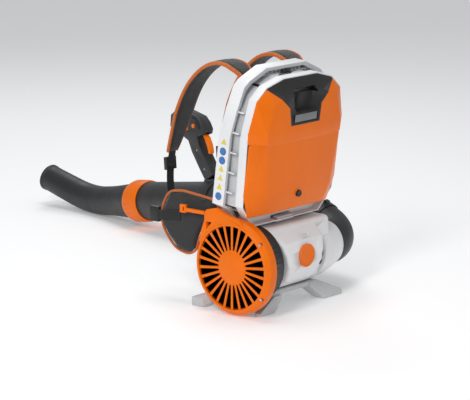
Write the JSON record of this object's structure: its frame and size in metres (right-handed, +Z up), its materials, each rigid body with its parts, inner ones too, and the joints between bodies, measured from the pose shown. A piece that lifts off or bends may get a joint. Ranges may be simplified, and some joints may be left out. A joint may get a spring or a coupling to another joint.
{
  "type": "backpack leaf blower",
  "caption": "Battery leaf blower carried on a padded back frame, with a bent nozzle on a swinging blow pipe and a control handle.",
  "frame": {"origin": "on the ground under the middle of the carry frame, where the feet stand", "axes": "+X to the wearer's right, +Y the way the wearer faces and the pipe blows, +Z up"},
  "size_m": [0.7195, 1.3982, 0.6112],
  "materials": {
    "white_shell": "satin moulded plastic",
    "pale_grey": "fine grained plastic",
    "orange": "satin moulded plastic",
    "charcoal": "fine grained plastic",
    "black_trim": "smooth plastic",
    "fabric": "woven nylon over foam",
    "webbing": "woven strap",
    "hose": "pleated rubber",
    "screw": "zinc plated",
    "copper": "lacquered winding",
    "steel": "ground steel",
    "board": "potted board",
    "cells": "shrink wrapped cells",
    "label": "blank plate"
  },
  "bodies": {
    "backframe": {"carry_frame": "white_shell", "base_stand": "pale_grey", "fan_housing_rear": "white_shell", "fan_housing_front": "white_shell", "housing_badge": "orange", "fan_duct": "charcoal", "outlet_duct": "white_shell", "intake_cone": "charcoal", "intake_cover": "orange", "intake_grille": "orange", "cover_arm": "orange", "cover_screws": "screw", "stator_vanes": "charcoal", "motor_stator": "copper", "motor_bearings": "steel", "motor_controller": "board", "outlet_elbow": "charcoal", "elbow_clamp": "black_trim", "hose_rear": "hose", "back_pad": "fabric", "lumbar_pad": "fabric", "shoulder_pad_left": "fabric", "shoulder_pad_right": "fabric", "strap_webbing_left": "webbing", "strap_webbing_right": "webbing", "strap_sliders": "black_trim", "strap_anchors": "black_trim", "battery_socket": "black_trim", "frame_bolts": "screw"},
    "fan": {"fan_impeller": "charcoal", "motor_rotor": "steel", "fan_nut": "steel"},
    "battery": {"battery_tray": "white_shell", "battery_cover": "orange", "battery_handle": "charcoal", "battery_label": "label", "cell_pack": "cells", "battery_plug": "black_trim"},
    "charge_key": {"charge_button": "black_trim"},
    "hose_middle": {"hose_mid_ring": "charcoal", "hose_front": "hose"},
    "blow_pipe": {"blow_tube": "charcoal", "tube_collar": "black_trim"},
    "pipe_ring": {"clamp_ring": "orange"},
    "pipe_nozzle": {"nozzle": "charcoal"},
    "control_handle": {"handle_clamp": "charcoal", "grip_left": "charcoal", "grip_right": "charcoal", "handle_screws": "screw"},
    "throttle": {"trigger": "orange"},
    "back_lever": {"rear_lever": "orange"},
    "boost_key": {"boost_button": "orange"},
    "mode_key": {"mode_button": "orange"},
    "belt_left": {"hip_wing_left": "fabric", "hip_buckle_socket": "black_trim"},
    "belt_right": {"hip_wing_right": "fabric", "hip_buckle_prongs": "black_trim"}
  },
  "joints": [
    {"name": "fan_spin", "type": "hinge", "parent": "backframe", "child": "fan", "pos_m": [0, -0.055, 0.12], "axis": [1, 0, 0], "continuous": true},
    {"name": "battery_slide", "type": "slide", "parent": "backframe", "child": "battery", "axis": [0, -0.1219, 0.9925], "range_m": [0, 0.16]},
    {"name": "charge_press", "type": "slide", "parent": "battery", "child": "charge_key", "axis": [0, 0.9925, 0.1219], "range_m": [0, 0.0015], "stiffness_N_per_m": 400},
    {"name": "hose_swing", "type": "hinge", "parent": "backframe", "child": "hose_middle", "pos_m": [0.26748, 0.09071, 0.17258], "axis": [0, 0, 1], "range_deg": [-9, 9], "deforming": ["hose_rear"]},
    {"name": "hose_lift", "type": "hinge", "parent": "hose_middle", "child": "blow_pipe", "pos_m": [0.26748, 0.09071, 0.17258], "axis": [0.9755, -0.2198, 0], "range_deg": [0, 22], "deforming": ["hose_front"]},
    {"name": "ring_turn", "type": "hinge", "parent": "blow_pipe", "child": "pipe_ring", "pos_m": [0.4241, 0.77558, 0.07667], "axis": [0.217, 0.9627, -0.1616], "range_deg": [0, 35]},
    {"name": "nozzle_turn", "type": "hinge", "parent": "blow_pipe", "child": "pipe_nozzle", "pos_m": [0.42844, 0.79483, 0.07344], "axis": [0.217, 0.9627, -0.1616], "range_deg": [-40, 0]},
    {"name": "handle_slide", "type": "slide", "parent": "blow_pipe", "child": "control_handle", "axis": [0.217, 0.9627, -0.1616], "range_m": [-0.08, 0.12]},
    {"name": "trigger_pull", "type": "hinge", "parent": "control_handle", "child": "throttle", "pos_m": [0.37467, 0.55623, 0.28771], "axis": [-0.9755, 0.2198, 0], "range_deg": [0, 8], "stiffness_Nm_per_rad": 0.06},
    {"name": "lever_press", "type": "hinge", "parent": "control_handle", "child": "back_lever", "pos_m": [0.36017, 0.49192, 0.30674], "axis": [0.9755, -0.2198, 0], "range_deg": [0, 5], "stiffness_Nm_per_rad": 0.06},
    {"name": "boost_press", "type": "slide", "parent": "control_handle", "child": "boost_key", "axis": [0.9755, -0.2198, 0], "range_m": [0, 0.0015], "stiffness_N_per_m": 300},
    {"name": "mode_press", "type": "slide", "parent": "control_handle", "child": "mode_key", "axis": [0.9755, -0.2198, 0], "range_m": [0, 0.0015], "stiffness_N_per_m": 300},
    {"name": "belt_left_fold", "type": "hinge", "parent": "backframe", "child": "belt_left", "pos_m": [-0.1575, 0.011, 0.25], "axis": [0, 0, 1], "range_deg": [-8, 0]},
    {"name": "belt_right_fold", "type": "hinge", "parent": "backframe", "child": "belt_right", "pos_m": [0.1575, 0.011, 0.25], "axis": [0, 0, 1], "range_deg": [0, 8]}
  ]
}
